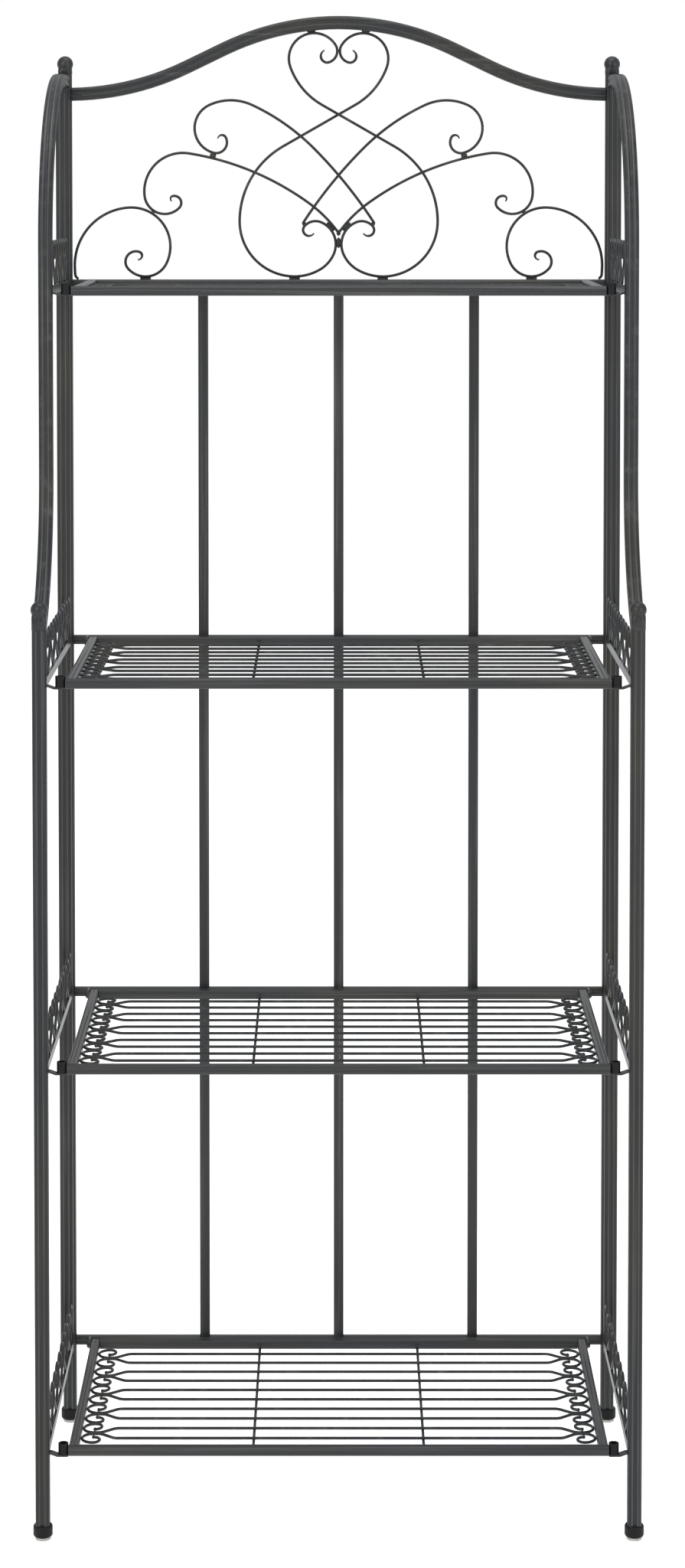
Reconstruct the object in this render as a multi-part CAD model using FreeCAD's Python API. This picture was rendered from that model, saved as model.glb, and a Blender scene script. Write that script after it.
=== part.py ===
import FreeCAD, Part
import os
from math import asin, atan2, cos, degrees, hypot, radians, sin, sqrt

from FreeCAD import Vector

# Folding bakers rack in wrought steel, in millimetres.
# +Z is up, the front faces -Y, and the origin is on the floor under the middle of the rack.
# Left and right are those of a person who faces the front.

# ---- driving dimensions -------------------------------------------------------------------

# tubes
tube_size = 16.0
tube_corner_radius = 4.0
flute_width = 5.0
flute_depth = 1.0
rail_size = 11.0
rail_corner_radius = 3.0
rail_flute_width = 4.0
rail_flute_depth = 0.7
wire_size = 3.3

# overall layout
rack_width = 686.0
leg_to_stile = 340.0
bottom_rail_top = 107.0
shelf_pitch = 436.5
level_names = ("bottom", "lower", "upper", "top")

# feet and finials
glide_radius = 8.5
glide_height = 3.0
foot_radius = 11.0
foot_height = 14.0
foot_round = 3.0
foot_floor = 3.0
finial_radius = 9.7
finial_rise = 6.8
front_leg_top = 1050.5
stile_top = 1671.8

# back panel
stile_inset = 2.0
slat_pitch = 165.5
slat_width = 12.0
slat_thickness = 10.0
slat_round = 1.5
crest_height = 320.5
crown_radius = 319.7
crown_angle = 25.8
shoulder_radius = 332.0
arch_end_angle = -0.65
weld_tab_length = 13.0
weld_tab_height = 2.0
weld_bead_margin = 2.2
crest_side_gap = 1.3

# side frames
side_arch_radius = 197.0
side_arch_setback = 93.5
side_arch_top = 1657.0
upright_bottom = 92.0
side_rail_height = 10.0
side_rail_thickness = 3.0
side_rail_inset = 6.0
heart_count = 5
top_heart_count = 3
heart_height = 52.0
heart_gap = 1.0
heart_bulge_radius = 20.0
heart_curl_radius = 6.5
heart_curl_turn = 110.0
lobe_gap = 0.6

# shelves
sleeve_to_leg = 9.75
shelf_rail_gap = 3.0
pair_count = 5
top_pair_count = 3
neck_gap = 0.2
neck_length = 6.0
neck_bend_angle = 38.0
curl_gap = 0.4
curl_tip_radius = 6.0
curl_tip_turn = 120.0
cross_wire_offset = 97.0

# pins and sleeves that hold each shelf's front corners
sleeve_radius = 5.75
sleeve_wall = 1.75
sleeve_height = 12.5
sleeve_bottom_rise = 1.5
sleeve_clearance = 1.0
pin_height = 9.0
arm_width = 9.0
arm_thickness = 2.0
arm_rise = 2.5
arm_seat_margin = 0.5
arm_bend_radius = 3.0
arm_bend_angle = 20.0

# rear pivots
ear_thickness = 3.0
ear_clearance = 0.3
ear_nose_radius = 5.5
rivet_radius = 2.5
rivet_clearance = 0.05
rivet_head_radius = 4.5
rivet_head_height = 1.8
rivet_end_wall = 1.0

# crest scrolls of the left half, every length in thousandths of the crest's height: start across
# the middle and above the top rail, first heading in degrees, then the bends of the wire in order,
# each a radius and a turn to the left in degrees; a turn of 0 is a straight length; where the stiles
# stand too close for that, all the scrolls shrink alike until they fit between them
crest_scrolls = {
    "heart": (-54.9, 872.4, 208.7, (
        (24.3, 169), (44.3, 105), (96.1, 167), (269.9, 40.5), (316.7, 0), (329.2, -60.1),
        (209.4, -89), (193.1, -31), (127.6, -37), (91.4, -90), (55.5, -72), (22.5, -183))),
    "loop": (-459, 537.6, 73, (
        (16.2, -135), (40.9, -133), (96.7, -140), (193.4, -50), (820.6, -20), (1747.3, -12))),
    "shoulder": (-636.2, 298.9, 137, (
        (10.9, -125), (26.8, -146), (77.1, -129), (146.6, -106), (1060.8, -27), (137.3, 0))),
    "corner": (-763.2, 76.4, 2, (
        (15.3, 159), (39.9, 151), (88.9, 112), (147.9, 119), (220, 90), (37.8, 0))),
}

# height above the top rail at which the lowest point of a scroll stands
crest_seats = {"heart": weld_tab_height, "corner": 0.0}

# ---- derived places -----------------------------------------------------------------------

tube_half = tube_size / 2
rail_half = rail_size / 2
wire_half = wire_size / 2
leg_x = rack_width / 2 - tube_half
stile_y = leg_to_stile / 2
leg_y = -stile_y
upright_y = stile_y - tube_size
leg_inner_x = leg_x - tube_half
stile_x = leg_x - stile_inset
stile_inner_x = stile_x - tube_half
leg_rear_y = leg_y + tube_half
upright_front_y = upright_y - tube_half
rail_tops = [bottom_rail_top + level * shelf_pitch for level in range(len(level_names))]
panel_front_y = stile_y - rail_half
crest_base = rail_tops[-1]
tube_bottom = glide_height + foot_floor
side_arch_end_y = upright_y + tube_half
side_rail_x = leg_x - side_rail_inset
side_arch_y = leg_y + side_arch_setback
heart_pitch = (upright_front_y - leg_rear_y) / heart_count
shelf_rear_y = panel_front_y - shelf_rail_gap - rail_half
sleeve_x = leg_inner_x - sleeve_to_leg - sleeve_radius
shelf_half_width = sleeve_x - sleeve_radius
side_bar_x = shelf_half_width - rail_half
side_bar_inner_x = side_bar_x - rail_half
side_bar_outer_x = side_bar_x + rail_half
pin_radius = sleeve_radius - sleeve_wall - sleeve_clearance
ear_x = side_bar_outer_x + ear_clearance

# what stands at the front of each level: the front leg, or at the top the side arch
front_posts = {"bottom": leg_y, "lower": leg_y, "upper": leg_y, "top": side_arch_y}
heart_counts = {"bottom": heart_count, "lower": heart_count, "upper": heart_count, "top": top_heart_count}
pair_counts = {"bottom": pair_count, "lower": pair_count, "upper": pair_count, "top": top_pair_count}

SIDES = {"left": -1, "right": 1}
X_AXIS = Vector(1, 0, 0)
Y_AXIS = Vector(0, 1, 0)
Z_AXIS = Vector(0, 0, 1)


# ---- shared shapes ------------------------------------------------------------------------

def export(name, solids):
    """Write one node; several solids share it as a compound."""
    shape = solids[0] if len(solids) == 1 else Part.makeCompound(solids)
    shape.exportStep("parts/" + name + ".step")


def mirrored_x(shape):
    return shape.mirror(Vector(), X_AXIS)


def block(low, high):
    """Box between two opposite corners."""
    size = [b - a for a, b in zip(low, high)]
    return Part.makeBox(size[0], size[1], size[2], Vector(low[0], low[1], low[2]))


def fluted_section(size, corner_radius, flutes):
    """Face on the XY plane: a rounded square with a shallow round flute along some of its sides,
    each side given as a flute's width and depth, or None; they start at +X and turn to the left."""
    half = size / 2
    flat = half - corner_radius
    corner_mid = flat + corner_radius * sin(radians(45))
    corner = Part.Arc(
        Vector(half, flat, 0), Vector(corner_mid, corner_mid, 0), Vector(flat, half, 0)).toShape()
    edges = []
    for quarter, flute in enumerate(flutes):
        side = [Part.makeLine(Vector(half, -flat, 0), Vector(half, flat, 0))]
        if flute:
            half_width = flute[0] / 2
            lip = Vector(half, half_width, 0)
            other_lip = Vector(half, -half_width, 0)
            side = [
                Part.makeLine(Vector(half, -flat, 0), other_lip),
                Part.Arc(other_lip, Vector(half - flute[1], 0, 0), lip).toShape(),
                Part.makeLine(lip, Vector(half, flat, 0)),
            ]
        for edge in side + [corner]:
            turned = edge.copy()
            turned.rotate(Vector(), Z_AXIS, 90 * quarter)
            edges.append(turned)
    return Part.Face(Part.Wire(edges))


def tube_section():
    return fluted_section(tube_size, tube_corner_radius, [(flute_width, flute_depth)] * 4)


def rail_section(sides):
    """Face of a rail's section, with a flute on each side that is marked True."""
    flute = (rail_flute_width, rail_flute_depth)
    return fluted_section(rail_size, rail_corner_radius, [flute if side else None for side in sides])


def cross_rail(half_length, y, bottom, level_flutes):
    """Rail across the rack, fluted along its front and back, and also above and below if asked."""
    section = rail_section([level_flutes, True, level_flutes, True])
    section.rotate(Vector(), Y_AXIS, 90)
    section.translate(Vector(-half_length, y, bottom + rail_half))
    return section.extrude(X_AXIS * 2 * half_length)


def upright_tube(x, y, bottom, top):
    tube = tube_section().extrude(Z_AXIS * (top - bottom))
    tube.translate(Vector(x, y, bottom))
    return tube


def bent_edges(place, start, heading, bends):
    """Edges of a bent wire on a plane: place maps (u, v) to a point, a turn of 0 is a straight length."""
    u, v = start
    angle = radians(heading)
    edges = []
    for size, turn in bends:
        first = place(u, v)
        if turn == 0:
            u += size * cos(angle)
            v += size * sin(angle)
            edges.append(Part.makeLine(first, place(u, v)))
            continue
        radius = size if turn > 0 else -size
        centre_u = u - radius * sin(angle)
        centre_v = v + radius * cos(angle)
        middle_angle = angle + radians(turn) / 2
        angle += radians(turn)
        middle = place(centre_u + radius * sin(middle_angle), centre_v - radius * cos(middle_angle))
        u = centre_u + radius * sin(angle)
        v = centre_v - radius * cos(angle)
        edges.append(Part.Arc(first, middle, place(u, v)).toShape())
    return edges


def strip(edges, width, thickness, normal):
    """Bar of a rectangular section that follows planar edges, thickness centred on their plane."""
    path = Part.Wire(Part.__sortEdges__(edges))
    face = path.makeOffset2D(width / 2, 0, True, False, False)
    face.translate(normal * (-thickness / 2))
    return face.extrude(normal * thickness)


def coped(piece, neighbours):
    """Piece that reaches into its neighbours, cut back to their faces and round edges."""
    return piece.cut(neighbours).Solids[0]


def evenly(count, pitch):
    """Offsets from the middle of a row."""
    return [(place - (count - 1) / 2) * pitch for place in range(count)]


def mirrored_edges(edges, normal):
    return edges + [edge.mirror(Vector(), normal) for edge in edges]


def bent_tube(edges, tangent, turn_axis):
    """Fluted tube along edges; the first edge starts along tangent, square to turn_axis."""
    path = Part.Wire(Part.__sortEdges__(edges))
    start = path.OrderedVertexes[0].Point
    section = tube_section()
    section.rotate(Vector(), turn_axis, degrees(Z_AXIS.getAngle(tangent)))
    section.translate(start)
    return path.makePipe(section)


# ---- back panel ---------------------------------------------------------------------------

def arch_rail():
    """Ogee tube: crown arc, straight shoulder and reverse arc on each side, cut flat at the stiles."""
    level = radians(crown_angle)
    end = radians(arch_end_angle)
    arcs_span = crown_radius * sin(level) + shoulder_radius * (sin(level) - sin(end))
    straight = (stile_x - arcs_span) / cos(level)
    bends = ((crown_radius, crown_angle), (straight, 0),
             (shoulder_radius, arch_end_angle - crown_angle))
    crown_z = crest_base + crest_height - tube_half
    half = bent_edges(lambda u, v: Vector(u, stile_y, v), (0, crown_z), 180, bends)
    tube = bent_tube(half, -X_AXIS, -Y_AXIS)
    whole = tube.fuse(mirrored_x(tube)).removeSplitter()
    between_stiles = block(
        (-stile_inner_x, -stile_y, crest_base), (stile_inner_x, rack_width, 2 * crown_z))
    return whole.common(between_stiles).Solids[0]


def scroll_edges(kind, unit):
    start_x, start_rise, heading, bends = crest_scrolls[kind]
    start = (start_x * unit, crest_base + start_rise * unit)
    sized = [(size * unit, turn) for size, turn in bends]
    return bent_edges(lambda u, v: Vector(u, stile_y - wire_half, v), start, heading, sized)


def crest_unit():
    """A thousandth of the crest: as its height asks, or less where the stiles leave less room."""
    corner_reach = -min(edge.BoundBox.XMin for edge in scroll_edges("corner", 1))
    return min(crest_height / 1000, (stile_inner_x - wire_half - crest_side_gap) / corner_reach)


def crest_scroll(kind, side):
    """Scroll of flat-laid wire; left ones lie in the front layer and right ones behind them."""
    scroll = strip(scroll_edges(kind, crest_unit()), wire_size, wire_size, Y_AXIS)
    if kind in crest_seats:
        scroll.translate(Z_AXIS * (crest_base + crest_seats[kind] - scroll.BoundBox.ZMin))
    if side == "left":
        return scroll
    behind = mirrored_x(scroll)
    behind.translate(Y_AXIS * wire_size)
    return behind


def weld_bead(first, second, low_y, high_y):
    """Bead that fills the narrowest gap between two pieces, between two planes."""
    gap, nearest = first.distToShape(second)[:2]
    middle = (nearest[0][0] + nearest[0][1]) / 2
    foot = Vector(middle.x, low_y, middle.z)
    bead = Part.makeCylinder(gap / 2 + weld_bead_margin, high_y - low_y, foot, Y_AXIS)
    return bead.cut(first).cut(second)


def rail_tab(scroll, ring_x):
    """Small block under a ring of a scroll, which holds it above the top rail."""
    half = weld_tab_length / 2
    box = scroll.BoundBox
    return block((ring_x - half, box.YMin, crest_base),
                 (ring_x + half, box.YMax, crest_base + weld_tab_height + wire_half)).cut(scroll)


def ring_bottom(scroll, left, right):
    """Where a scroll comes lowest between two places across the panel."""
    box = scroll.BoundBox
    part = scroll.common(block((left, box.YMin, box.ZMin), (right, box.YMax, box.ZMax)))
    return part.distToShape(block((left, box.YMin, 0), (right, box.YMax, crest_base)))[1][0][0].x


def crest_welds(scrolls):
    """Tabs and beads of the left half."""
    heart, loop, shoulder, corner = [scrolls[kind] for kind in ("heart", "loop", "shoulder", "corner")]
    front_y = heart.BoundBox.YMin
    back_y = heart.BoundBox.YMax
    corner_ring_left = corner.BoundBox.XMax - corner.BoundBox.XLength / 2
    return [
        rail_tab(heart, ring_bottom(heart, 0, heart.BoundBox.XMax)),
        rail_tab(corner, ring_bottom(corner, corner_ring_left, corner.BoundBox.XMax)),
        weld_bead(corner, shoulder, front_y, back_y),
        weld_bead(shoulder, loop, front_y, back_y),
        weld_bead(loop, heart, front_y, back_y),
    ]


def panel_rail(bottom):
    return cross_rail(stile_inner_x, stile_y, bottom, False)


def slat(x, lower_rail, upper_rail):
    """Upright bar between two panel rails, with round edges."""
    bar = block(
        (x - slat_width / 2, stile_y - slat_thickness / 2, lower_rail.BoundBox.ZMax - rail_corner_radius),
        (x + slat_width / 2, stile_y + slat_thickness / 2, upper_rail.BoundBox.ZMin + rail_corner_radius))
    upright_edges = [edge for edge in bar.Edges if edge.BoundBox.ZLength > slat_width]
    return coped(bar.makeFillet(slat_round, upright_edges), [lower_rail, upper_rail])


def back_panel():
    left_scrolls = {kind: crest_scroll(kind, "left") for kind in crest_scrolls}
    welds = []
    for weld in crest_welds(left_scrolls):
        behind = mirrored_x(weld)
        behind.translate(Y_AXIS * wire_size)
        welds += weld.Solids + behind.Solids
    export("crest_welds", welds)
    for side, sign in SIDES.items():
        export("rear_stile_" + side, [upright_tube(sign * stile_x, stile_y, tube_bottom, stile_top)])
        for kind in crest_scrolls:
            export("crest_" + kind + "_" + side, [crest_scroll(kind, side)])
    export("arch_rail", [arch_rail()])
    rails = [panel_rail(top - rail_size) for top in rail_tops]
    for name, rail in zip(level_names, rails):
        export("panel_rail_" + name, [rail])
    for name, place in (("left", -1), ("middle", 0), ("right", 1)):
        x = place * slat_pitch
        export("slat_" + name, [slat(x, lower, upper) for lower, upper in zip(rails, rails[1:])])


# ---- finials and feet ---------------------------------------------------------------------

def ball_finial(x, y, top):
    """Ball that sits on the tube's flat top."""
    lowest = degrees(asin(-finial_rise / finial_radius))
    return Part.makeSphere(finial_radius, Vector(x, y, top + finial_rise), Z_AXIS, lowest, 90, 360)


def foot_cap(x, y):
    """Barrel-sided cap with a socket that fits the tube."""
    cap = Part.makeCylinder(foot_radius, foot_height, Vector(x, y, glide_height))
    cap = cap.makeFillet(foot_round, [edge for edge in cap.Edges if hasattr(edge.Curve, "Radius")])
    return cap.cut(upright_tube(x, y, tube_bottom, glide_height + 2 * foot_height))


def ends_of_uprights():
    corners = [(sign * x, y) for sign in SIDES.values() for x, y in ((leg_x, leg_y), (stile_x, stile_y))]
    tops = {leg_y: front_leg_top, stile_y: stile_top}
    export("ball_finials", [ball_finial(x, y, tops[y]) for x, y in corners])
    export("foot_caps", [foot_cap(x, y) for x, y in corners])
    export("foot_glides", [
        Part.makeCylinder(glide_radius, glide_height, Vector(x, y, 0)) for x, y in corners])


# ---- side frames --------------------------------------------------------------------------

def side_arch():
    """C-shaped tube from the top of the right front leg over to the rear upright."""
    upper_z = side_arch_top - side_arch_radius
    rise = side_arch_radius * sin(radians(foot_turn()))
    lower_z = front_leg_top - finial_radius + rise
    bends = ((side_arch_end_y - side_arch_y - side_arch_radius, 0), (side_arch_radius, 90),
             (upper_z - lower_z, 0), (side_arch_radius, -foot_turn() - arch_overrun()))
    edges = bent_edges(lambda u, v: Vector(leg_x, u, v), (side_arch_end_y, side_arch_top), 180, bends)
    tube = bent_tube(edges, -Y_AXIS, X_AXIS)
    inside_leg = block((0, leg_y - rack_width, 0), (rack_width, leg_rear_y, 2 * side_arch_top))
    finial_room = Part.makeSphere(finial_radius, Vector(leg_x, leg_y, front_leg_top + finial_rise))
    return tube.cut(inside_leg).cut(finial_room).Solids[0]


def foot_turn():
    """Turn of the side arch, in degrees, that brings its centre line to the leg's rear face."""
    reach = side_arch_setback - tube_half
    return degrees(atan2(sqrt(2 * side_arch_radius * reach - reach ** 2), side_arch_radius - reach))


def arch_overrun():
    """Further turn that carries the tube's whole end past the leg's rear face, to be cut flat."""
    return degrees(tube_size / side_arch_radius)


def side_heart(middle_y, base_z):
    """Heart of one bent wire that stands on its point on a side rail of the right frame."""
    half_width = heart_pitch / 2 - heart_gap / 2 - wire_half
    inner = (lobe_gap + wire_size) / 2
    lobe_radius = (half_width - inner) / 2
    shoulder_v = heart_height - wire_size - lobe_radius
    centre_u = half_width - heart_bulge_radius
    to_centre = hypot(centre_u, shoulder_v)
    leg_angle = degrees(atan2(shoulder_v, centre_u) - asin(heart_bulge_radius / to_centre))
    leg_length = sqrt(to_centre ** 2 - heart_bulge_radius ** 2)
    bends = ((leg_length, 0), (heart_bulge_radius, 90 - leg_angle), (lobe_radius, 180),
             (heart_curl_radius, heart_curl_turn))
    half = bent_edges(lambda u, v: Vector(side_rail_x, u, v), (0, 0), leg_angle, bends)
    heart = strip(mirrored_edges(half, Y_AXIS), wire_size, wire_size, X_AXIS)
    heart.translate(Vector(0, middle_y, base_z - heart.BoundBox.ZMin))
    return heart


def support_arm(post_y, frame_bottom):
    """Strap from the right front post that dips under the sleeve, and its upright pin."""
    seat_z = frame_bottom + sleeve_bottom_rise - arm_thickness / 2
    run = 2 * arm_bend_radius * sin(radians(arm_bend_angle))
    drop = 2 * arm_bend_radius * (1 - cos(radians(arm_bend_angle)))
    slope = (arm_rise - drop) / sin(radians(arm_bend_angle))
    run += slope * cos(radians(arm_bend_angle))
    inner_x = sleeve_x - sleeve_radius + arm_thickness / 2
    seat_end_x = sleeve_x + sleeve_radius + arm_seat_margin
    bends = ((seat_end_x - inner_x, 0), (arm_bend_radius, arm_bend_angle), (slope, 0),
             (arm_bend_radius, -arm_bend_angle), (leg_x - seat_end_x - run, 0))
    edges = bent_edges(lambda u, v: Vector(u, post_y, v), (inner_x, seat_z), 0, bends)
    strap = strip(edges, arm_thickness, arm_width, Y_AXIS)
    inside_post = block((leg_inner_x, -leg_to_stile, 0), (rack_width, 0, 2 * side_arch_top))
    pin = Part.makeCylinder(pin_radius, pin_height, Vector(sleeve_x, post_y, seat_z + arm_thickness / 2))
    return strap.cut(inside_post).fuse(pin).Solids[0]


def side_rail(front_post, rear_upright, front_y, top):
    """Flat bar whose ends fill in against the posts' round corners."""
    half = side_rail_thickness / 2
    bar = block(
        (side_rail_x - half, front_y - tube_corner_radius, top - side_rail_height),
        (side_rail_x + half, upright_front_y + tube_corner_radius, top))
    return coped(bar, [front_post, rear_upright])


def side_frames():
    leg = upright_tube(leg_x, leg_y, tube_bottom, front_leg_top)
    upright = upright_tube(leg_x, upright_y, upright_bottom, side_arch_top - tube_half)
    arch = side_arch()
    rails = []
    hearts = []
    arms = []
    for name, top in zip(level_names, rail_tops):
        post_y = front_posts[name]
        rail_front_y = post_y + tube_half
        rails.append(side_rail(leg if post_y == leg_y else arch, upright, rail_front_y, top))
        middle_y = (rail_front_y + upright_front_y) / 2
        for offset in evenly(heart_counts[name], heart_pitch):
            hearts.append(side_heart(middle_y + offset, top))
        arms.append(support_arm(post_y, top - rail_size))
    right = {
        "front_leg": [leg],
        "side_arch": [arch],
        "rear_upright": [upright],
        "side_rails": rails,
        "side_hearts": hearts,
        "support_arms": arms,
    }
    for name, solids in right.items():
        export(name + "_right", solids)
        export(name + "_left", [mirrored_x(solid) for solid in solids])


# ---- shelves ------------------------------------------------------------------------------

def side_bar(front_rail, frame_bottom):
    """Right side bar, fluted above and below, with a round rear end about the pivot and a blind hole
    for the rivet."""
    pivot_z = frame_bottom + rail_half
    front_y = front_rail.BoundBox.YMax - rail_corner_radius
    section = rail_section([False, True, False, True])
    section.rotate(Vector(), X_AXIS, 90)
    section.translate(Vector(side_bar_x, front_y, pivot_z))
    bar = section.extrude(Y_AXIS * (shelf_rear_y + rail_half - front_y))
    straight = block((side_bar_inner_x, front_y, frame_bottom),
                     (side_bar_outer_x, shelf_rear_y, frame_bottom + rail_size))
    nose = Part.makeCylinder(
        rail_half, rail_size, Vector(side_bar_inner_x, shelf_rear_y, pivot_z), X_AXIS)
    hole = Part.makeCylinder(
        rivet_radius + rivet_clearance, rail_size,
        Vector(side_bar_inner_x + rivet_end_wall, shelf_rear_y, pivot_z), X_AXIS)
    return coped(bar.common(straight.fuse(nose)), [front_rail, hole])


def long_wires(front_y, pairs, frame_bottom):
    """Pairs of wires that meet at a neck near each end, part again and curl back off the side bars."""
    rear_y = shelf_rear_y - rail_half
    pitch = (rear_y - front_y) / (2 * pairs + 1)
    z = frame_bottom + rail_half
    neck_offset = (neck_gap + wire_size) / 2
    curl_radius = (pitch - neck_offset - wire_half - curl_gap / 2) / 2
    shift = pitch / 2 - neck_offset
    bend_radius = shift / 2 / (1 - cos(radians(neck_bend_angle)))
    curl_x = side_bar_inner_x - wire_half - curl_radius
    straight = curl_x - neck_length - 2 * bend_radius * sin(radians(neck_bend_angle))
    bends = ((straight, 0), (bend_radius, neck_bend_angle), (bend_radius, -neck_bend_angle),
             (neck_length, 0), (curl_radius, -180), (curl_tip_radius, -curl_tip_turn))
    half = bent_edges(lambda u, v: Vector(u, v, z), (0, pitch / 2), 180, bends)
    rear_wire = strip(mirrored_edges(half, X_AXIS), wire_size, wire_size, Z_AXIS)
    front_wire = rear_wire.mirror(Vector(), Y_AXIS)
    wires = []
    for offset in evenly(pairs, 2 * pitch):
        for wire in (front_wire, rear_wire):
            placed = wire.copy()
            placed.translate(Y_AXIS * ((front_y + rear_y) / 2 + offset))
            wires.append(placed)
    return wires


def cross_wire(x, front_rail, rear_rail):
    """Wire under the long wires, from rail to rail."""
    top = front_rail.BoundBox.ZMin + rail_half - wire_half
    wire = block((x - wire_half, front_rail.BoundBox.YMax - rail_corner_radius, top - wire_size),
                 (x + wire_half, rear_rail.BoundBox.YMin + rail_corner_radius, top))
    return coped(wire, [front_rail, rear_rail])


def sleeve(y, frame_bottom):
    foot = Vector(sleeve_x, y, frame_bottom + sleeve_bottom_rise)
    outside = Part.makeCylinder(sleeve_radius, sleeve_height, foot)
    return outside.cut(Part.makeCylinder(sleeve_radius - sleeve_wall, sleeve_height, foot))


def shelf(name, frame_bottom):
    rail_y = front_posts[name]
    front_rail = cross_rail(shelf_half_width, rail_y, frame_bottom, True)
    rear_rail = cross_rail(side_bar_inner_x, shelf_rear_y, frame_bottom, True)
    export(name + "_shelf_front_rail", [front_rail])
    export(name + "_shelf_rear_rail", [rear_rail])
    bar = side_bar(front_rail, frame_bottom)
    export(name + "_shelf_side_bars", [mirrored_x(bar), bar])
    export(name + "_shelf_long_wires", long_wires(rail_y + rail_half, pair_counts[name], frame_bottom))
    export(name + "_shelf_cross_wires", [
        cross_wire(sign * cross_wire_offset, front_rail, rear_rail) for sign in SIDES.values()])
    tube = sleeve(rail_y, frame_bottom)
    export(name + "_shelf_sleeves", [mirrored_x(tube), tube])


# ---- rear pivots --------------------------------------------------------------------------

def hinge_ear(frame_bottom):
    """Plate on the panel rail, with a round nose about the shelf's pivot."""
    pivot_z = frame_bottom + rail_half
    plate = block((ear_x, shelf_rear_y, pivot_z - ear_nose_radius),
                  (ear_x + ear_thickness, panel_front_y + rail_corner_radius, pivot_z + ear_nose_radius))
    nose_start = Vector(ear_x, shelf_rear_y, pivot_z)
    nose = Part.makeCylinder(ear_nose_radius, ear_thickness, nose_start, X_AXIS)
    hole = Part.makeCylinder(rivet_radius, ear_thickness, nose_start, X_AXIS)
    return coped(plate.fuse(nose).removeSplitter(), [hole, panel_rail(frame_bottom)])


def hinge_rivet(frame_bottom):
    """Rivet held in the ear; its shank is the shelf's pivot."""
    axis_z = frame_bottom + rail_half
    tip_x = side_bar_inner_x + 2 * rivet_end_wall
    head_x = ear_x + ear_thickness
    shank = Part.makeCylinder(
        rivet_radius, head_x - tip_x, Vector(tip_x, shelf_rear_y, axis_z), X_AXIS)
    head = Part.makeCylinder(
        rivet_head_radius, rivet_head_height, Vector(head_x, shelf_rear_y, axis_z), X_AXIS)
    return shank.fuse(head)


def rear_pivots():
    frame_bottoms = [top - rail_size for top in rail_tops]
    for name, make in (("hinge_ears", hinge_ear), ("hinge_rivets", hinge_rivet)):
        right = [make(bottom) for bottom in frame_bottoms]
        export(name, right + [mirrored_x(piece) for piece in right])


# ---- build --------------------------------------------------------------------------------

os.makedirs("parts", exist_ok=True)
back_panel()
ends_of_uprights()
side_frames()
for level_name, rail_top in zip(level_names, rail_tops):
    shelf(level_name, rail_top - rail_size)
rear_pivots()
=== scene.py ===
from math import asin, atan2, ceil, cos, degrees, hypot, pi, radians, sin, sqrt, tan

import bpy
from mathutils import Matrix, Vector


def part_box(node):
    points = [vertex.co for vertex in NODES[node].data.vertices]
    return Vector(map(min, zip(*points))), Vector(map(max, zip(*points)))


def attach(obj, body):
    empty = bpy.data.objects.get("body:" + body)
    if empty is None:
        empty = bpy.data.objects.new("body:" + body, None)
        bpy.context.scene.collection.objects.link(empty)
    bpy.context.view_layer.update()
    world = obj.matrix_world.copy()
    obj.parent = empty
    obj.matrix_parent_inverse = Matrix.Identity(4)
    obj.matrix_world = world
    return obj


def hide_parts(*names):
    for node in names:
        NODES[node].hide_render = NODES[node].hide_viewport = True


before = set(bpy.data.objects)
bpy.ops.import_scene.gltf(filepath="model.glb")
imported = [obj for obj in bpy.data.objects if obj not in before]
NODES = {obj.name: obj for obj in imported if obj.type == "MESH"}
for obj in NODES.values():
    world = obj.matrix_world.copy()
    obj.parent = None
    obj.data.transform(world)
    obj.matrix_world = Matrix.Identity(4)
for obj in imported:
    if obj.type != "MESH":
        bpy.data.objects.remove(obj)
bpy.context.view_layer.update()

# Lengths are in millimetres, as in the part's source, except those of the camera, the lamps and
# the textures, which are in metres.
MM = 0.001


# ---- camera: far in front and a little downcast, framed by a lens shift ----------------------

IMAGE_WIDTH = 895
IMAGE_HEIGHT = 2048
FOCAL_PX = 4096.6
AXIS_PX = (442.4, 424.0)
EYE = (0.0, -3.6584, 1.5345)
LOOK_DOWN = radians(2.591)
SENSOR_HEIGHT = 36.0
CLIP_END = 50

camera_data = bpy.data.cameras.new("camera")
camera_data.sensor_fit = "VERTICAL"
camera_data.sensor_height = SENSOR_HEIGHT
camera_data.lens = FOCAL_PX / IMAGE_HEIGHT * SENSOR_HEIGHT
camera_data.shift_x = (IMAGE_WIDTH / 2 - AXIS_PX[0]) / IMAGE_HEIGHT
camera_data.shift_y = -(IMAGE_HEIGHT / 2 - AXIS_PX[1]) / IMAGE_HEIGHT
camera_data.clip_end = CLIP_END
camera = bpy.data.objects.new("camera", camera_data)
camera.location = EYE
camera.rotation_euler = (pi / 2 - LOOK_DOWN, 0, 0)
bpy.context.scene.collection.objects.link(camera)
bpy.context.scene.camera = camera


# ---- sizes that the scene shares with the source ---------------------------------------------

LEVELS = {"bottom": 107.0, "lower": 543.5, "upper": 980.0, "top": 1416.5}
SIDES = ("left", "right")
LEG_X = 335.0
STILE_X = 333.0
STILE_Y = 170.0
UPRIGHT_Y = 154.0
SIDE_RAIL_X = 329.0
WIRE_RADIUS = 1.65


# ---- node materials --------------------------------------------------------------------------

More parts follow.
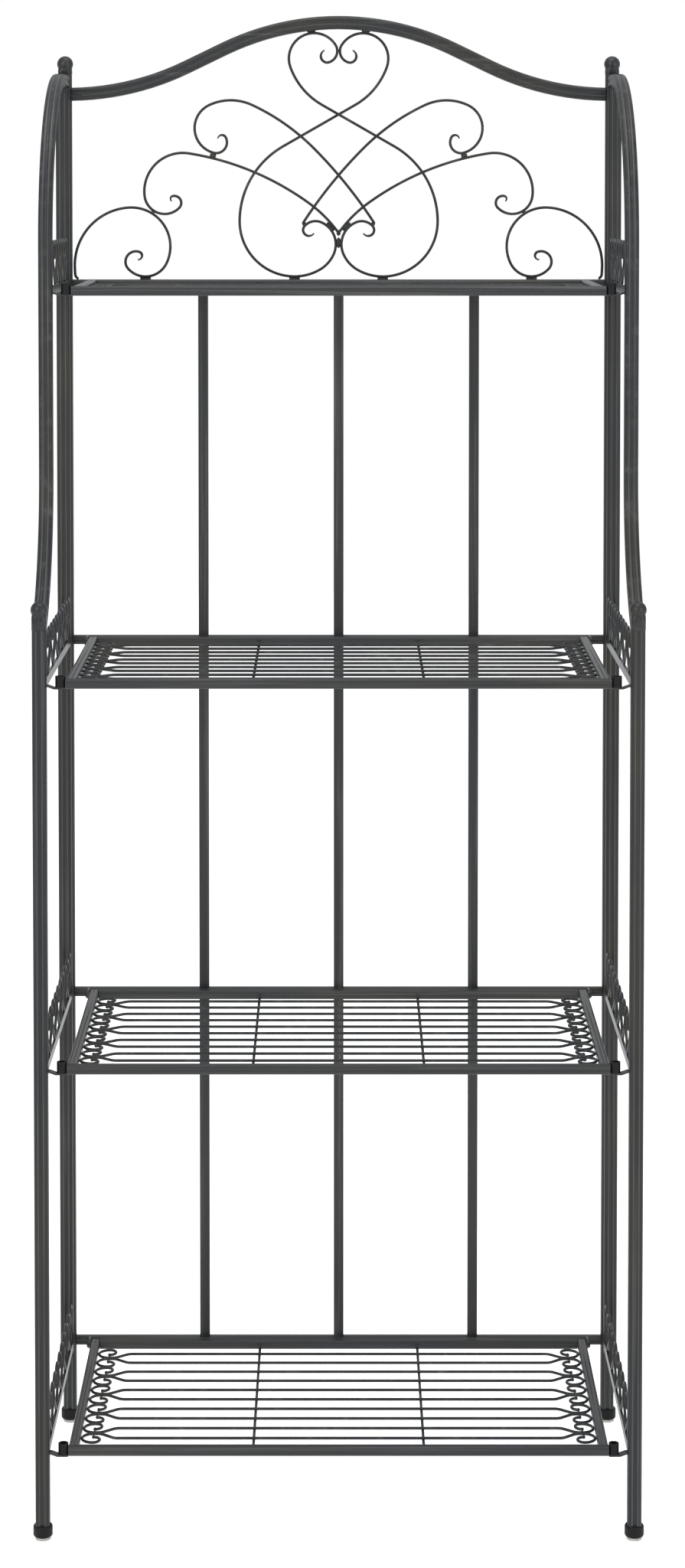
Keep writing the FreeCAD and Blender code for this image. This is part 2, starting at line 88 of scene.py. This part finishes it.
class Graph:
    """Small helper that wires up a node material."""

    def __init__(self, name):
        self.material = bpy.data.materials.new(name)
        self.material.use_nodes = True
        self.tree = self.material.node_tree
        self.shader = self.tree.nodes["Principled BSDF"]
        self.place = self.add("ShaderNodeTexCoord").outputs["Object"]

    def set(self, socket, value):
        """Link the socket to another one, or give it a value."""
        if isinstance(value, bpy.types.NodeSocket):
            self.tree.links.new(value, socket)
        else:
            socket.default_value = value

    def add(self, kind, **inputs):
        """New node; an input is named with _ for a space, or by its place, as in _0."""
        node = self.tree.nodes.new(kind)
        for key, value in inputs.items():
            self.set(node.inputs[int(key[1:]) if key[0] == "_" else key.replace("_", " ")], value)
        return node

    def shade(self, **inputs):
        """Set inputs of the shader itself."""
        for key, value in inputs.items():
            self.set(self.shader.inputs[key.replace("_", " ")], value)

    def math(self, operation, first, second=0.0, third=0.0, clamp=False):
        node = self.add("ShaderNodeMath", _0=first, _1=second, _2=third)
        node.operation = operation
        node.use_clamp = clamp
        return node.outputs[0]

    def stretched(self, scale):
        return self.add("ShaderNodeMapping", Vector=self.place, Scale=scale).outputs[0]

    def noise(self, scale, where=None, detail=4.0, rough=0.55):
        node = self.add("ShaderNodeTexNoise", Vector=where or self.place, Scale=scale,
                        Detail=detail, Roughness=rough)
        return node.outputs["Fac"]

    def ramp(self, value, stops):
        node = self.add("ShaderNodeValToRGB", Fac=value)
        band = node.color_ramp
        while len(band.elements) < len(stops):
            band.elements.new(0.5)
        for element, (position, colour) in zip(band.elements, stops):
            element.position = position
            element.color = (*colour, 1.0)
        return node.outputs["Color"]

    def mix(self, factor, first, second):
        """Blend of two colours."""
        node = self.add("ShaderNodeMix")
        node.data_type = "RGBA"
        self.set(node.inputs[0], factor)
        for place, colour in ((6, first), (7, second)):
            self.set(node.inputs[place], (*colour, 1.0) if isinstance(colour, tuple) else colour)
        return node.outputs[2]

    def bump(self, height, strength, distance):
        node = self.add("ShaderNodeBump", Height=height, Strength=strength, Distance=distance)
        self.shade(Normal=node.outputs["Normal"])


# Colours of the paint, and how finely its streaks repeat along each axis, by the brush's way
DARK = (0.010, 0.0105, 0.011)
MID = (0.018, 0.0185, 0.0185)
LIGHT = (0.034, 0.034, 0.033)
OLIVE = (0.036, 0.033, 0.021)
BLUISH = (0.016, 0.021, 0.030)
PALE_WEAR_AND_HIGHLIGHT = (0.150, 0.150, 0.142)
STREAKS = {"x": (3.5, 190, 190), "y": (190, 3.5, 190), "z": (190, 190, 3.5), "any": (60, 60, 60)}
STREAK_TONES = [(0.30, DARK), (0.52, MID), (0.74, LIGHT)]
HUE_TONES = [(0.40, OLIVE), (0.52, MID), (0.64, BLUISH)]
HUE_SHARE = 0.55
CLOUD_SCALE, TINT_SCALE, GRAIN_SCALE = 9.0, 4.0, 1400.0

# Where the paint is pale: worn pale on strong streaks, and a painted highlight on the ridges beside a
# tube's flutes
WORN_FROM, WORN_GAIN = 0.56, 4.0
WORN_BESIDE_RIDGES = 0.5
RIDGE_FROM, RIDGE_TO, RIDGE_SOFT = 0.0026, 0.0036, 0.0006

ROUGHNESS_SPREAD = 0.25
STREAK_HEIGHT, GRAIN_HEIGHT = 0.7, 0.3
BUMP_STRENGTH, BUMP_DISTANCE = 0.35, 0.0004

# Middles of the fluted tubes: 0 stands for x and 1 for y, the same on both sides of 0
LEG_MIDDLES = {0: (LEG_X,), 1: (STILE_Y, UPRIGHT_Y)}
STILE_MIDDLES = {0: (STILE_X,), 1: (STILE_Y, UPRIGHT_Y)}
ARCH_MIDDLES = {1: (STILE_Y,)}
SIDE_ARCH_MIDDLES = {0: (LEG_X,)}


def ridge_highlights(g, axis, middles):
    """Mask of a painted highlight: 1 on the ridges of tubes, by the distance along an axis to the
    nearest tube's middle.
    """
    split = g.add("ShaderNodeSeparateXYZ", Vector=g.place)
    place = g.math("ABSOLUTE", split.outputs[axis])
    gaps = [g.math("ABSOLUTE", g.math("SUBTRACT", place, middle * MM)) for middle in middles]
    nearest = gaps[0]
    for gap in gaps[1:]:
        nearest = g.math("MINIMUM", nearest, gap)
    rise = g.math("SUBTRACT", nearest, RIDGE_FROM - RIDGE_SOFT)
    fall = g.math("SUBTRACT", RIDGE_TO + RIDGE_SOFT, nearest)
    rise, fall = (g.math("DIVIDE", edge, RIDGE_SOFT, clamp=True) for edge in (rise, fall))
    return g.math("MULTIPLY", rise, fall)


def ironwork(name, along, middles=None, wear_and_highlight=0.35, rough=0.30, gloss=0.38):
    """Charcoal paint brushed along the bar, with olive and bluish streaks, pale wear on strong streaks,
    and a painted highlight on the ridges of fluted tubes.
    """
    g = Graph(name)
    streak = g.noise(1.0, g.stretched(STREAKS[along]), detail=5.0, rough=0.6)
    cloud = g.noise(CLOUD_SCALE, detail=3.0)
    tint = g.noise(TINT_SCALE, detail=2.0)
    grain = g.noise(GRAIN_SCALE, detail=2.0)
    hue = g.ramp(tint, HUE_TONES)
    base = g.mix(g.math("MULTIPLY", cloud, HUE_SHARE), g.ramp(streak, STREAK_TONES), hue)
    wear_and_highlight_mask = g.math("SUBTRACT", streak, WORN_FROM, clamp=True)
    wear_and_highlight_mask = g.math("MULTIPLY", wear_and_highlight_mask, WORN_GAIN, clamp=True)
    # Painted highlight: pale lines on the ridges beside the flutes, joined to the worn streaks
    if middles:
        ridge_highlight_axes = [ridge_highlights(g, axis, places) for axis, places in middles.items()]
        ridge_highlight = g.math("MAXIMUM", *ridge_highlight_axes) if len(ridge_highlight_axes) == 2 else ridge_highlight_axes[0]
        wear_and_highlight_mask = g.math("MAXIMUM", g.math("MULTIPLY", wear_and_highlight_mask, WORN_BESIDE_RIDGES),
                      g.math("MULTIPLY", ridge_highlight, cloud))
    # The pale colour goes on as worn paint on streaks and as painted highlight on the ridges
    base = g.mix(g.math("MULTIPLY", wear_and_highlight_mask, wear_and_highlight, clamp=True), base, PALE_WEAR_AND_HIGHLIGHT)
    g.shade(Base_Color=base, Specular_IOR_Level=gloss,
            Roughness=g.math("MULTIPLY_ADD", streak, ROUGHNESS_SPREAD, rough))
    height = g.math("MULTIPLY_ADD", streak, STREAK_HEIGHT, g.math("MULTIPLY", grain, GRAIN_HEIGHT))
    g.bump(height, BUMP_STRENGTH, BUMP_DISTANCE)
    return g.material


# Share of the colour in a plastic's darker spots, and its noise's lower and upper stop
SPOT_SHADE = 0.75
SPOT_FROM, SPOT_TO = 0.35, 0.65
SPOT_ROUGHNESS = 0.15
PLASTIC_GRAIN_SCALE = 2200.0
PLASTIC_BUMP_STRENGTH, PLASTIC_BUMP_DISTANCE = 0.2, 0.0002


def plastic(name, colour, roughness, scale, gloss=0.5):
    """Moulded plastic with faint spots."""
    g = Graph(name)
    mottle = g.noise(scale)
    spot = tuple(SPOT_SHADE * c for c in colour)
    g.shade(Base_Color=g.ramp(mottle, [(SPOT_FROM, spot), (SPOT_TO, colour)]),
            Specular_IOR_Level=gloss,
            Roughness=g.math("MULTIPLY_ADD", mottle, SPOT_ROUGHNESS, roughness))
    g.bump(g.noise(PLASTIC_GRAIN_SCALE, detail=2.0), PLASTIC_BUMP_STRENGTH, PLASTIC_BUMP_DISTANCE)
    return g.material


# Each material's share of pale colour sets its worn streaks and, on fluted tubes, its painted ridge
# highlights
IRON = {
    "x": ironwork("iron_along_x", "x"),
    "y": ironwork("iron_along_y", "y", wear_and_highlight=0.6, rough=0.22, gloss=0.42),
    "z": ironwork("iron_along_z", "z", gloss=0.36),
    "tube": ironwork("iron_tube", "z", LEG_MIDDLES, wear_and_highlight=0.5, gloss=0.25),
    "stile": ironwork("iron_stile", "z", STILE_MIDDLES, wear_and_highlight=0.6, gloss=0.30),
    "arch": ironwork("iron_arch", "x", ARCH_MIDDLES, wear_and_highlight=0.75, gloss=0.34),
    "side_arch": ironwork("iron_side_arch", "any", SIDE_ARCH_MIDDLES, wear_and_highlight=0.55, gloss=0.26),
    "side_rail": ironwork("iron_side_rail", "y", wear_and_highlight=0.45, rough=0.2, gloss=0.30),
    "wire": ironwork("iron_wire", "any", wear_and_highlight=0.3, rough=0.25, gloss=0.24),
    "ball": ironwork("iron_ball", "any", wear_and_highlight=0.15, rough=0.24, gloss=0.28),
}
BLACK = plastic("black_plastic", (0.004, 0.004, 0.0045), 0.45, 260.0, gloss=0.2)
# Painted shade: a near-black material for the dark insides of small holes
HOLE_SHADE = plastic("painted_hole_shade", (0.003, 0.003, 0.003), 0.8, 400.0)
GLIDE = plastic("pale_plastic", (0.50, 0.49, 0.45), 0.5, 300.0)


def dress(node, material):
    NODES[node].data.materials.clear()
    NODES[node].data.materials.append(material)


for side in SIDES:
    dress("rear_stile_" + side, IRON["stile"])
    dress("front_leg_" + side, IRON["tube"])
    dress("rear_upright_" + side, IRON["tube"])
    dress("side_arch_" + side, IRON["side_arch"])
    dress("side_rails_" + side, IRON["side_rail"])
    dress("support_arms_" + side, IRON["x"])
for place in ("left", "middle", "right"):
    dress("slat_" + place, IRON["z"])
dress("arch_rail", IRON["arch"])
dress("crest_welds", IRON["y"])
dress("hinge_ears", IRON["y"])
dress("hinge_rivets", IRON["wire"])
dress("foot_caps", BLACK)
dress("foot_glides", GLIDE)
for level in LEVELS:
    dress("panel_rail_" + level, IRON["x"])
    dress(level + "_shelf_front_rail", IRON["x"])
    dress(level + "_shelf_rear_rail", IRON["x"])
    dress(level + "_shelf_side_bars", IRON["y"])
    dress(level + "_shelf_sleeves", BLACK)


# ---- round forms -----------------------------------------------------------------------------

SIDES_OF_WIRE = 12
ARC_STEP = 9.0
ARC_LENGTH = 5.0
DOME_SLOPES = (radians(35), radians(70))
BEAD_RISES = [radians(rise) for rise in range(-80, 81, 20)]
THINNEST_TIP = 0.85


def turns_of(count):
    return [2 * pi * k / count for k in range(count)]


WIRE_TURNS = turns_of(SIDES_OF_WIRE)


def bent_path(start, heading, bends):
    """Points of a bent wire on a plane: each bend is a radius and a left turn in degrees,
    and a turn of 0 is a straight length."""
    u, v = start
    angle = radians(heading)
    points = [(u, v)]
    for size, turn in bends:
        if turn == 0:
            u += size * cos(angle)
            v += size * sin(angle)
            points.append((u, v))
            continue
        steps = ceil(max(2, abs(turn) / ARC_STEP, size * radians(abs(turn)) / ARC_LENGTH))
        radius = size if turn > 0 else -size
        centre_u = u - radius * sin(angle)
        centre_v = v + radius * cos(angle)
        for _ in range(steps):
            angle += radians(turn) / steps
            points.append((centre_u + radius * sin(angle), centre_v - radius * cos(angle)))
        u, v = points[-1]
    return points


def both_halves(half):
    """Whole path of a wire from the half that runs outward from its middle to the right."""
    return [(-u, v) for u, v in reversed(half)] + half[1:]


def tip_radii(points, tapers, taper):
    """Wire radius at each point; an end that tapers thins over that length towards its tip."""
    along = [0.0]
    for a, b in zip(points, points[1:]):
        along.append(along[-1] + (b - a).length)
    radii = []
    for s in along:
        radius = WIRE_RADIUS
        for tapered, gap in zip(tapers, (s, along[-1] - s)):
            if tapered and gap < taper:
                radius = min(radius, THINNEST_TIP + (WIRE_RADIUS - THINNEST_TIP) * gap / taper)
        radii.append(radius)
    return radii


def add_skin(verts, faces, rings):
    """Closed skin over rings with equally many points."""
    first = len(verts)
    count = len(rings[0])
    verts += [point * MM for ring in rings for point in ring]
    for a in range(first, len(verts) - count, count):
        for k in range(count):
            after = (k + 1) % count
            faces.append((a + k, a + after, a + count + after, a + count + k))
    faces.append(tuple(reversed(range(first, first + count))))
    faces.append(tuple(range(len(verts) - count, len(verts))))


def dome(station, way):
    """Stations that round off a wire's end; way is 1 ahead of it and -1 behind it."""
    point, ahead, radius = station
    return [(point + ahead * radius * (way * sin(slope)), ahead, radius * cos(slope))
            for slope in DOME_SLOPES]


def add_wire(verts, faces, points, radii, normal):
    """Round wire with domed ends, through points of a plane with that normal."""
    last = len(points) - 1
    stations = []
    for i, (point, radius) in enumerate(zip(points, radii)):
        ahead = (points[min(i + 1, last)] - points[max(i - 1, 0)]).normalized()
        stations.append((point, ahead, radius))
    stations = dome(stations[0], -1)[::-1] + stations + dome(stations[-1], 1)
    rings = []
    for point, ahead, radius in stations:
        across = normal.cross(ahead)
        rings.append([point + (across * cos(t) + normal * sin(t)) * radius for t in WIRE_TURNS])
    add_skin(verts, faces, rings)


def add_bead(verts, faces, middle, halves, tilt=0.0):
    """Ellipsoid with those half sizes, tilted about the axis from front to rear."""
    lean = radians(tilt)
    rings = []
    for rise in BEAD_RISES:
        ring = []
        for turn in WIRE_TURNS:
            x = halves[0] * cos(rise) * cos(turn)
            y = halves[1] * cos(rise) * sin(turn)
            z = halves[2] * sin(rise)
            leaned = Vector((x * cos(lean) - z * sin(lean), y, x * sin(lean) + z * cos(lean)))
            ring.append(Vector(middle) + leaned)
        rings.append(ring)
    add_skin(verts, faces, rings)


def make_piece(name, verts, faces, material, body, node=None):
    """Visible piece that rides on a body, and stands in for a node where one is given."""
    mesh = bpy.data.meshes.new(name)
    mesh.from_pydata([tuple(v) for v in verts], [], faces)
    mesh.update()
    for polygon in mesh.polygons:
        polygon.use_smooth = True
    mesh.materials.append(material)
    piece = bpy.data.objects.new(name, mesh)
    bpy.context.scene.collection.objects.link(piece)
    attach(piece, body)
    if node:
        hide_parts(node)


# ---- crest scrolls ---------------------------------------------------------------------------

CREST_BASE = LEVELS["top"]
CREST_UNIT = 0.3205
CREST_TAPER = 9.0
# Height over the crest's base of the lowest point of the scrolls that stand on it
SEATS = {"heart": 2.0, "corner": 0.0}
# Start across and up, heading, which ends taper, and bends, all in crest units and degrees
SCROLLS = {
    "heart": (-54.9, 872.4, 208.7, (True, True), (
        (24.3, 169), (44.3, 105), (96.1, 167), (269.9, 40.5), (316.7, 0), (329.2, -60.1),
        (209.4, -89), (193.1, -31), (127.6, -37), (91.4, -90), (55.5, -72), (22.5, -183))),
    "loop": (-459, 537.6, 73.0, (True, False), (
        (16.2, -135), (40.9, -133), (96.7, -140), (193.4, -50), (820.6, -20), (1747.3, -12))),
    "shoulder": (-636.2, 298.9, 137.0, (True, False), (
        (10.9, -125), (26.8, -146), (77.1, -129), (146.6, -106), (1060.8, -27),
        (500, -17), (8.2, 0))),
    "corner": (-763.2, 76.4, 2.0, (True, False), (
        (15.3, 159), (39.9, 151), (88.9, 112), (147.9, 119), (220, 90), (22.5, 0), (18.7, 55))),
}

for kind, (start_x, start_rise, heading, tapers, bends) in SCROLLS.items():
    sized = [(size * CREST_UNIT, turn) for size, turn in bends]
    flat = bent_path((start_x * CREST_UNIT, start_rise * CREST_UNIT), heading, sized)
    lift = 0.0
    if kind in SEATS:
        lift = SEATS[kind] - min(v for u, v in flat) + WIRE_RADIUS
    for side, sign, y in (("left", 1, STILE_Y - WIRE_RADIUS), ("right", -1, STILE_Y + WIRE_RADIUS)):
        points = [Vector((sign * u, y, CREST_BASE + v + lift)) for u, v in flat]
        verts, faces = [], []
        add_wire(verts, faces, points, tip_radii(points, tapers, CREST_TAPER), Vector((0, 1, 0)))
        node = "crest_" + kind + "_" + side
        make_piece("wire_" + node, verts, faces, IRON["wire"], "rack", node)


# ---- weld beads ------------------------------------------------------------------------------

# Across and up from the crest's base, half sizes along x, y and z, and tilt in degrees; a bead
# beside the middle stands on both sides of it
BEADS = (
    (0.0, 44.8, (2.9, 2.8, 6.5), 0.0),
    (0.0, 56.8, (2.6, 3.0, 3.6), 0.0),
    (-9.8, 64.5, (6.8, 2.8, 2.5), -48.6),
    (-33.3, 302.4, (5.5, 2.6, 2.2), 4.0),
)

verts, faces = [], []
for x, rise, halves, tilt in BEADS:
    for sign in ((1, -1) if x else (1,)):
        add_bead(verts, faces, (sign * x, STILE_Y, CREST_BASE + rise), halves, sign * tilt)
make_piece("crest_beads", verts, faces, IRON["wire"], "rack")


# ---- ball finials, each on a plain collar over the end of its tube ---------------------------

FINIAL_RADIUS = 9.7
FINIAL_RISE = 6.8
FINIAL_LOWEST, FINIAL_HIGHEST = -30.6, 86.0
FINIAL_RINGS = 13
FINIAL_SIDES = 48
COLLAR_LENGTH = {"front_leg_": 16.0, "rear_stile_": 6.0}
COLLAR_HALF, COLLAR_CORNER = 8.35, 4.35
RIM_HALF, RIM_CORNER, RIM_LENGTH = 7.85, 4.0, 0.5
NECK_DROP = 1.0
NECK_CORNER, NECK_RISE = 6.5, 0.6


def square_reach(half, corner, turn):
    """How far a square with rounded corners reaches from its middle in the direction turn."""
    flat = half - corner
    lean = abs((turn + pi / 4) % (pi / 2) - pi / 4)
    if half * tan(lean) <= flat:
        return half / cos(lean)
    return flat * (cos(lean) + sin(lean)) + sqrt(corner ** 2 - flat ** 2 * (1 - sin(2 * lean)))


def finial_levels(length):
    """Half size, corner radius and rise of the rings, from the collar's rim to the ball's top."""
    levels = [
        (RIM_HALF, RIM_CORNER, -length),
        (COLLAR_HALF, COLLAR_CORNER, RIM_LENGTH - length),
        (COLLAR_HALF, COLLAR_CORNER, -NECK_DROP),
        (COLLAR_HALF, NECK_CORNER, NECK_RISE),
    ]
    for step in range(FINIAL_RINGS):
        share = (FINIAL_HIGHEST - FINIAL_LOWEST) * step / (FINIAL_RINGS - 1)
        slope = radians(FINIAL_LOWEST + share)
        reach = FINIAL_RADIUS * cos(slope)
        levels.append((reach, reach, FINIAL_RISE + FINIAL_RADIUS * sin(slope)))
    return levels


verts, faces = [], []
for post, length in COLLAR_LENGTH.items():
    for side in SIDES:
        low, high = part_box(post + side)
        middle = Vector(((low[0] + high[0]) / 2, (low[1] + high[1]) / 2, high[2])) / MM
        rings = []
        for half, corner, rise in finial_levels(length):
            ring = []
            for turn in turns_of(FINIAL_SIDES):
                reach = square_reach(half, corner, turn)
                ring.append(middle + Vector((reach * cos(turn), reach * sin(turn), rise)))
            rings.append(ring)
        add_skin(verts, faces, rings)
make_piece("turned_ball_finials", verts, faces, IRON["ball"], "rack", "ball_finials")


# ---- painted shade in the mouths of small holes, on the left only ----------------------------

MARK_DEPTH = 0.8
MARK_LIFT = 0.1
LEG_MARK = (-332.6, -178.35, 1046.8)
LEG_MARK_RADIUS = 0.9
BAR_MARK_X, BAR_MARK_Y, BAR_MARK_DROP = -300.5, 149.0, 0.7
BAR_MARK_RADIUS = 1.7


def hole_shade_disc(name, middle, normal, radius, body):
    """Thin dark disc of painted shade in the mouth of a small hole."""
    normal = Vector(normal)
    across = normal.orthogonal().normalized()
    above = normal.cross(across)
    rims = [across * cos(turn) + above * sin(turn) for turn in WIRE_TURNS]
    verts, faces = [], []
    add_skin(verts, faces, [[Vector(middle) + rim * radius + normal * height for rim in rims]
                            for height in (-MARK_DEPTH, MARK_LIFT)])
    make_piece(name, verts, faces, HOLE_SHADE, body)


# Painted shade: dark discs where small holes open in the leg and the side bars
hole_shade_disc("leg_hole_shade", LEG_MARK, (0, -1, 0), LEG_MARK_RADIUS, "rack")
for level, top in LEVELS.items():
    hole_shade_disc(level + "_bar_hole_shade", (BAR_MARK_X, BAR_MARK_Y, top - BAR_MARK_DROP), (0, 0, 1),
              BAR_MARK_RADIUS, level + "_shelf")


# ---- side hearts -----------------------------------------------------------------------------

POST_REAR = {"bottom": -162.0, "lower": -162.0, "upper": -162.0, "top": -68.5}
UPRIGHT_FRONT = 146.0
HEART_PITCH = 61.6
HEART_COUNT = {"bottom": 5, "lower": 5, "upper": 5, "top": 3}
HEART_HEIGHT = 52.0
HEART_GAP = 1.0
HEART_TAPER = 8.0
BULGE_RADIUS = 20.0
CURL_RADIUS = 6.5
CURL_TURN = 110.0
LOBE_GAP = 0.6

half_width = HEART_PITCH / 2 - HEART_GAP / 2 - WIRE_RADIUS
inner = (LOBE_GAP + 2 * WIRE_RADIUS) / 2
lobe_radius = (half_width - inner) / 2
shoulder_v = HEART_HEIGHT - 2 * WIRE_RADIUS - lobe_radius
centre_u = half_width - BULGE_RADIUS
to_centre = hypot(centre_u, shoulder_v)
leg_angle = degrees(atan2(shoulder_v, centre_u) - asin(BULGE_RADIUS / to_centre))
leg_length = sqrt(to_centre ** 2 - BULGE_RADIUS ** 2)
whole_heart = both_halves(bent_path((0, WIRE_RADIUS), leg_angle, (
    (leg_length, 0), (BULGE_RADIUS, 90 - leg_angle), (lobe_radius, 180), (CURL_RADIUS, CURL_TURN))))

for side, sign in zip(SIDES, (-1, 1)):
    verts, faces = [], []
    for level, top in LEVELS.items():
        for place in range(HEART_COUNT[level]):
            from_middle = place - (HEART_COUNT[level] - 1) / 2
            middle = (POST_REAR[level] + UPRIGHT_FRONT) / 2 + from_middle * HEART_PITCH
            points = [Vector((sign * SIDE_RAIL_X, middle + u, top + v)) for u, v in whole_heart]
            radii = tip_radii(points, (True, True), HEART_TAPER)
            add_wire(verts, faces, points, radii, Vector((1, 0, 0)))
    node = "side_hearts_" + side
    make_piece("wire_" + node, verts, faces, IRON["wire"], "rack", node)


# ---- shelf wires -----------------------------------------------------------------------------

SHELF_FRONT = {"bottom": -164.5, "lower": -164.5, "upper": -164.5, "top": -71.0}
SHELF_REAR = 150.5
BAR_INNER = 294.75
PAIRS = {"bottom": 5, "lower": 5, "upper": 5, "top": 3}
WIRE_DEPTH = 5.5
NECK_GAP = 0.2
NECK_LENGTH = 4.0
NECK_BEND = 38.0
NECK_RADIUS = 12.0
CURL_GAP = 0.4
TIP_RADIUS = 7.8
TIP_TURN = 178.0
TIP_BALL_RADIUS = 2.1
CROSS_X = 97.0
CROSS_INSET = 0.7
UP = Vector((0, 0, 1))


def shelf_wire(pitch):
    """Rear wire of a pair, from tip to tip, about the middle of its pair."""
    neck_offset = NECK_GAP / 2 + WIRE_RADIUS
    curl_radius = (pitch - neck_offset - WIRE_RADIUS - CURL_GAP / 2) / 2
    bend = radians(NECK_BEND)
    shift = pitch / 2 - neck_offset
    slope = (shift - 2 * NECK_RADIUS * (1 - cos(bend))) / sin(bend)
    curl_x = BAR_INNER - WIRE_RADIUS - curl_radius
    straight = curl_x - NECK_LENGTH - slope * cos(bend) - 2 * NECK_RADIUS * sin(bend)
    return both_halves(bent_path((0, pitch / 2), 180, (
        (straight, 0), (NECK_RADIUS, NECK_BEND), (slope, 0), (NECK_RADIUS, -NECK_BEND), (NECK_LENGTH, 0),
        (curl_radius, -180), (TIP_RADIUS, -TIP_TURN))))


for level, top in LEVELS.items():
    z = top - WIRE_DEPTH
    front = SHELF_FRONT[level]
    # The wires stand one pitch from each other, and the outer ones one pitch from the rails
    pitch = (SHELF_REAR - front) / (2 * PAIRS[level] + 1)
    whole_wire = shelf_wire(pitch)
    verts, faces = [], []
    for pair in range(PAIRS[level]):
        middle = front + (2 * pair + 1.5) * pitch
        for sign in (-1, 1):
            points = [Vector((u, middle + sign * v, z)) for u, v in whole_wire]
            add_wire(verts, faces, points, [WIRE_RADIUS] * len(points), UP)
            for tip in (points[0], points[-1]):
                add_bead(verts, faces, tip, (TIP_BALL_RADIUS,) * 3)
    node = level + "_shelf_long_wires"
    make_piece("round_" + node, verts, faces, IRON["wire"], level + "_shelf", node)
    verts, faces = [], []
    for x in (-CROSS_X, CROSS_X):
        ends = (front + CROSS_INSET, SHELF_REAR - CROSS_INSET)
        points = [Vector((x, y, z - 2 * WIRE_RADIUS)) for y in ends]
        add_wire(verts, faces, points, [WIRE_RADIUS] * 2, UP)
    node = level + "_shelf_cross_wires"
    make_piece("round_" + node, verts, faces, IRON["wire"], level + "_shelf", node)


# ---- world -----------------------------------------------------------------------------------

WHITE = (1.0, 1.0, 1.0)
COOL = (0.95, 0.97, 1.0)
WORLD_LIGHT = 0.75


def background(tree, colour, strength):
    node = tree.nodes.new("ShaderNodeBackground")
    node.inputs["Color"].default_value = (*colour, 1.0)
    node.inputs["Strength"].default_value = strength
    return node.outputs[0]


world = bpy.data.worlds.new("studio")
bpy.context.scene.world = world
world.use_nodes = True
tree = world.node_tree
tree.nodes.clear()
path = tree.nodes.new("ShaderNodeLightPath")
choose = tree.nodes.new("ShaderNodeMixShader")
output = tree.nodes.new("ShaderNodeOutputWorld")
tree.links.new(path.outputs["Is Camera Ray"], choose.inputs[0])
tree.links.new(background(tree, COOL, WORLD_LIGHT), choose.inputs[1])
tree.links.new(background(tree, WHITE, 1.0), choose.inputs[2])
tree.links.new(choose.outputs[0], output.inputs["Surface"])


# ---- floor: white paper that glows for the eye only, and keeps the shadow --------------------

FLOOR_REACH = 8
PAPER_SCALE = 3.0
PAPER_TONES = [(0.3, (0.93, 0.93, 0.93)), (0.7, (0.96, 0.96, 0.96))]
PAPER_ROUGHNESS = 0.9
PAPER_GLOSS = 0.1
PAPER_GLOW = 0.45

corners = [(x * FLOOR_REACH, y * FLOOR_REACH, 0) for x, y in ((-1, -1), (1, -1), (1, 1), (-1, 1))]
floor_mesh = bpy.data.meshes.new("floor")
floor_mesh.from_pydata(corners, [], [(0, 1, 2, 3)])
floor = bpy.data.objects.new("floor", floor_mesh)
bpy.context.scene.collection.objects.link(floor)

paper = Graph("floor_paper")
tone = paper.noise(PAPER_SCALE, detail=2.0)
paper.shade(Base_Color=paper.ramp(tone, PAPER_TONES), Roughness=PAPER_ROUGHNESS,
            Specular_IOR_Level=PAPER_GLOSS)
glow = paper.add("ShaderNodeEmission", Color=(*WHITE, 1.0), Strength=PAPER_GLOW)
lit = paper.add("ShaderNodeAddShader", _0=paper.shader.outputs[0], _1=glow.outputs[0])
rays = paper.add("ShaderNodeLightPath").outputs
seen_rays = paper.math("MAXIMUM", rays["Is Camera Ray"], rays["Is Glossy Ray"])
seen_rays = paper.math("MAXIMUM", seen_rays, rays["Is Transmission Ray"])
seen = paper.add("ShaderNodeMixShader", Fac=seen_rays, _1=paper.shader.outputs[0],
                 _2=lit.outputs[0])
paper.set(paper.tree.nodes["Material Output"].inputs["Surface"], seen.outputs[0])
floor_mesh.materials.append(paper.material)


# ---- lamps: name, place, aim, width and height, power and colour -----------------------------

LAMPS = (
    ("key", (-2.2, -3.2, 2.6), (0, 0, 0.9), (1.6, 2.4), 70, WHITE),
    ("fill", (2.6, -2.6, 1.6), (0, 0, 0.9), (1.6, 2.4), 40, COOL),
    ("top", (0, -0.4, 3.6), (0, 0, 1.0), (2.0, 2.0), 35, WHITE),
)

for name, place, aim, size, power, colour in LAMPS:
    data = bpy.data.lights.new(name, "AREA")
    data.shape = "RECTANGLE"
    data.size, data.size_y = size
    data.energy = power
    data.color = colour
    light = bpy.data.objects.new(name, data)
    light.location = place
    light.rotation_euler = (Vector(aim) - Vector(place)).to_track_quat("-Z", "Y").to_euler()
    bpy.context.scene.collection.objects.link(light)

bpy.context.scene.view_settings.view_transform = "Standard"
